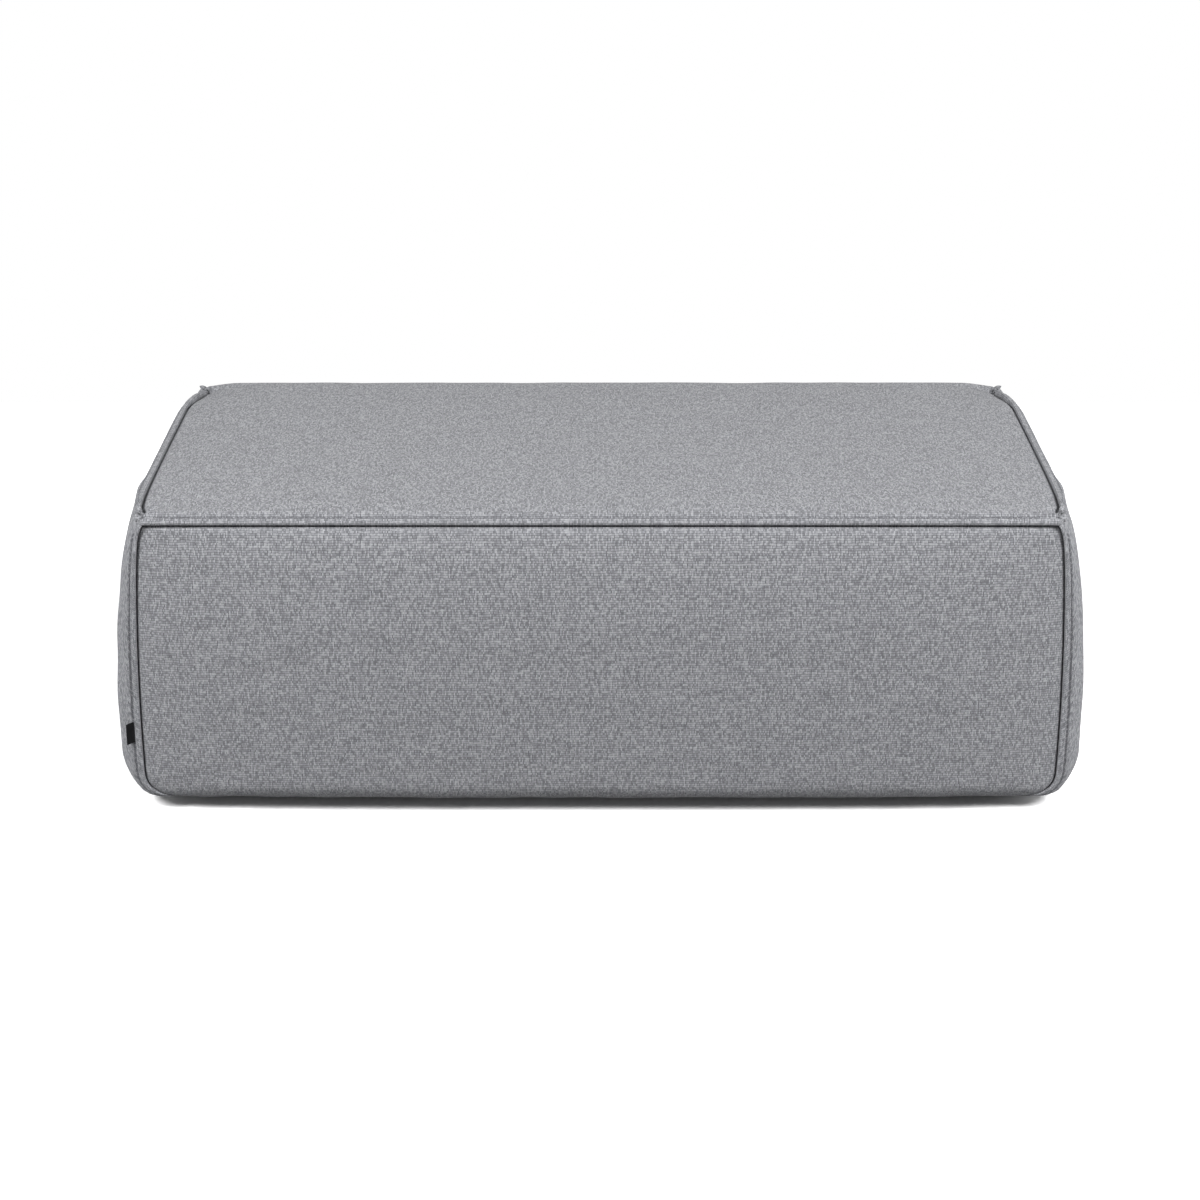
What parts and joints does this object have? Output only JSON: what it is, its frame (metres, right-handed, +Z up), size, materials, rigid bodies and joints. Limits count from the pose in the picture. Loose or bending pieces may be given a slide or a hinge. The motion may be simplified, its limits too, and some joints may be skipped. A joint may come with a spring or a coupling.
{
  "type": "ottoman coffee table",
  "caption": "Low rectangular upholstered ottoman coffee table with soft crowned panels, lapped seams and a blank woven side label.",
  "frame": {"origin": "on the floor, under the middle of the ottoman", "axes": "+X along the width to the right, +Y from the front to the back, +Z up"},
  "size_m": [1.2026, 0.5814, 0.3999],
  "materials": {
    "grey_weave": "matte",
    "birch_plywood": "matte",
    "pine": "matte",
    "webbing": "matte",
    "foam": "matte",
    "wadding": "matte",
    "black_plastic": "matte",
    "black_label": "matte",
    "black_cloth": "matte"
  },
  "bodies": {
    "root": {"back_rail": "birch_plywood", "cover_back": "grey_weave", "cover_front": "grey_weave", "cover_left": "grey_weave", "cover_right": "grey_weave", "cover_top": "grey_weave", "cross_strap_1": "webbing", "cross_strap_2": "webbing", "cross_strap_3": "webbing", "cross_strap_4": "webbing", "cross_strap_5": "webbing", "cross_strap_6": "webbing", "cross_strap_7": "webbing", "cross_strap_8": "webbing", "dust_cloth": "black_cloth", "foam_block": "foam", "foot_back_left": "black_plastic", "foot_back_right": "black_plastic", "foot_front_left": "black_plastic", "foot_front_right": "black_plastic", "front_rail": "birch_plywood", "left_bearer": "birch_plywood", "left_rail": "birch_plywood", "long_strap_1": "webbing", "long_strap_2": "webbing", "long_strap_3": "webbing", "pad_back": "foam", "pad_front": "foam", "pad_left": "foam", "pad_right": "foam", "post_back_left": "pine", "post_back_right": "pine", "post_front_left": "pine", "post_front_right": "pine", "right_bearer": "birch_plywood", "right_rail": "birch_plywood", "side_label": "black_label", "wadding_top": "wadding"}
  },
  "joints": []
}
